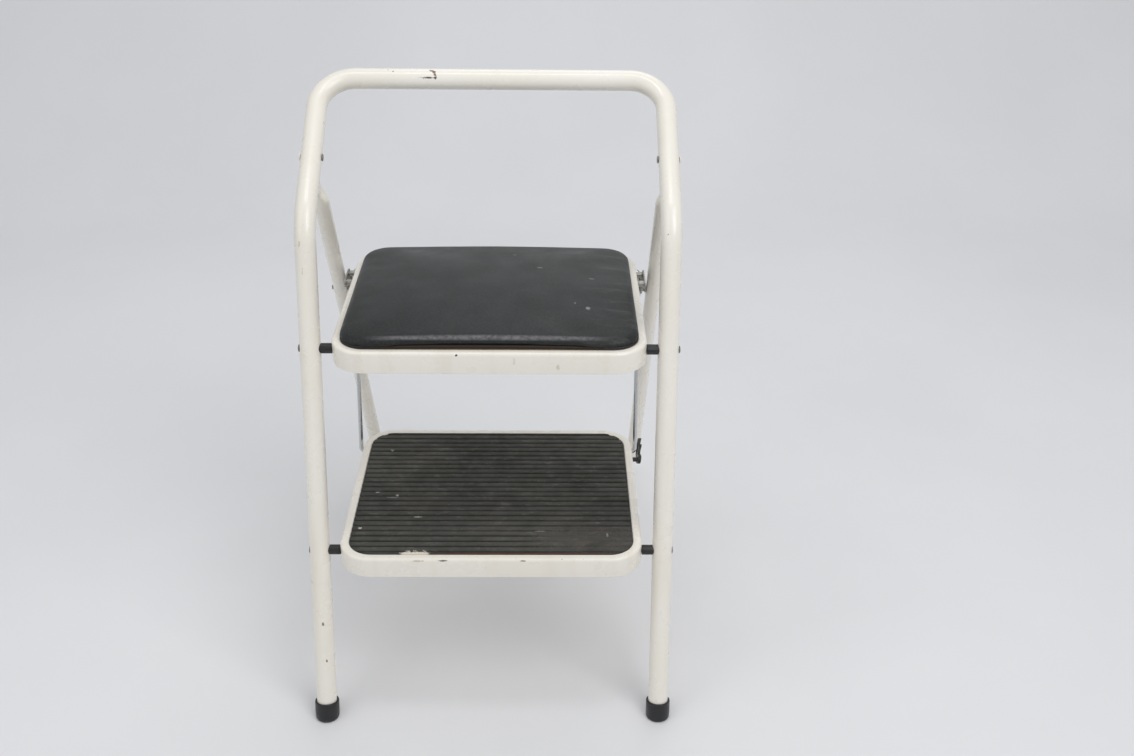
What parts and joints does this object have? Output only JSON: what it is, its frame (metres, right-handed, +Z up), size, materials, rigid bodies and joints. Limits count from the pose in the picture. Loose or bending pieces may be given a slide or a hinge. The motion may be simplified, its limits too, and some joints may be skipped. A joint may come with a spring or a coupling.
{
  "type": "folding step stool chair",
  "caption": "Folding step stool chair: arched tube frame, hinged rear frame, and a padded seat and a ribbed step that swing up together on side rods.",
  "frame": {"origin": "on the floor, under the middle of the open stool's bounding box", "axes": "+Z up, +Y towards the back of the stool, +X to the right of someone facing its front steps"},
  "size_m": [0.4556, 0.5954, 0.747],
  "materials": {
    "cream_paint": "gloss cream-white enamel",
    "black_vinyl": "satin vinyl",
    "black_rubber": "matt ribbed",
    "black_plastic": "satin",
    "chrome_steel": "polished",
    "zinc_steel": "zinc-plated",
    "plywood": "bare"
  },
  "bodies": {
    "front": {"front_frame": "cream_paint", "foot_cap_left": "black_plastic", "seat_pivot_rivet_left": "zinc_steel", "seat_spacer_left": "black_plastic", "step_pivot_rivet_left": "zinc_steel", "step_spacer_left": "black_plastic", "rear_hinge_rivet_left": "zinc_steel", "foot_cap_right": "black_plastic", "seat_pivot_rivet_right": "zinc_steel", "seat_spacer_right": "black_plastic", "step_pivot_rivet_right": "zinc_steel", "step_spacer_right": "black_plastic", "rear_hinge_rivet_right": "zinc_steel"},
    "rear": {"rear_frame": "cream_paint", "rear_glide_left": "black_plastic", "seat_stud_left": "chrome_steel", "rear_glide_right": "black_plastic", "seat_stud_right": "chrome_steel"},
    "seat": {"seat_pan": "cream_paint", "seat_board": "plywood", "seat_pad": "black_vinyl", "board_screw_1": "zinc_steel", "board_screw_2": "zinc_steel", "board_screw_3": "zinc_steel", "board_screw_4": "zinc_steel", "seat_washer_left": "zinc_steel", "hook_plate_left": "zinc_steel", "hook_rivet_front_left": "zinc_steel", "hook_rivet_rear_left": "zinc_steel", "seat_washer_right": "zinc_steel", "hook_plate_right": "zinc_steel", "hook_rivet_front_right": "zinc_steel", "hook_rivet_rear_right": "zinc_steel"},
    "step": {"step_pan": "cream_paint", "step_mat": "black_rubber", "fold_catch": "black_plastic", "catch_rivet": "zinc_steel", "step_washer_left": "zinc_steel", "step_washer_right": "zinc_steel"},
    "rod_left": {"side_rod_left": "chrome_steel", "rod_clip_upper_left": "zinc_steel", "rod_clip_lower_left": "zinc_steel"},
    "rod_right": {"side_rod_right": "chrome_steel", "rod_clip_upper_right": "zinc_steel", "rod_clip_lower_right": "zinc_steel"}
  },
  "joints": [
    {"name": "seat_fold", "type": "hinge", "parent": "front", "child": "seat", "pos_m": [0, -0.16038, 0.4705], "axis": [1, 0, 0], "range_deg": [0, 64]},
    {"name": "step_fold", "type": "hinge", "parent": "front", "child": "step", "pos_m": [0, -0.22537, 0.2228], "axis": [1, 0, 0], "range_deg": [0, 64]},
    {"name": "rear_fold", "type": "hinge", "parent": "front", "child": "rear", "pos_m": [0, -0.04766, 0.6668], "axis": [-1, 0, 0], "range_deg": [0, 41.65]},
    {"name": "rod_left_swing", "type": "hinge", "parent": "seat", "child": "rod_left", "pos_m": [0, 0.06462, 0.4705], "axis": [-1, 0, 0], "range_deg": [0, 64]},
    {"name": "rod_right_swing", "type": "hinge", "parent": "seat", "child": "rod_right", "pos_m": [0, 0.06462, 0.4705], "axis": [-1, 0, 0], "range_deg": [0, 64]}
  ],
  "couplings": [
    {"joint": "step_fold", "follows": "seat_fold", "ratio": 1},
    {"joint": "rear_fold", "follows": "seat_fold", "ratio": 0.65078},
    {"joint": "rod_left_swing", "follows": "seat_fold", "ratio": 1},
    {"joint": "rod_right_swing", "follows": "seat_fold", "ratio": 1}
  ]
}
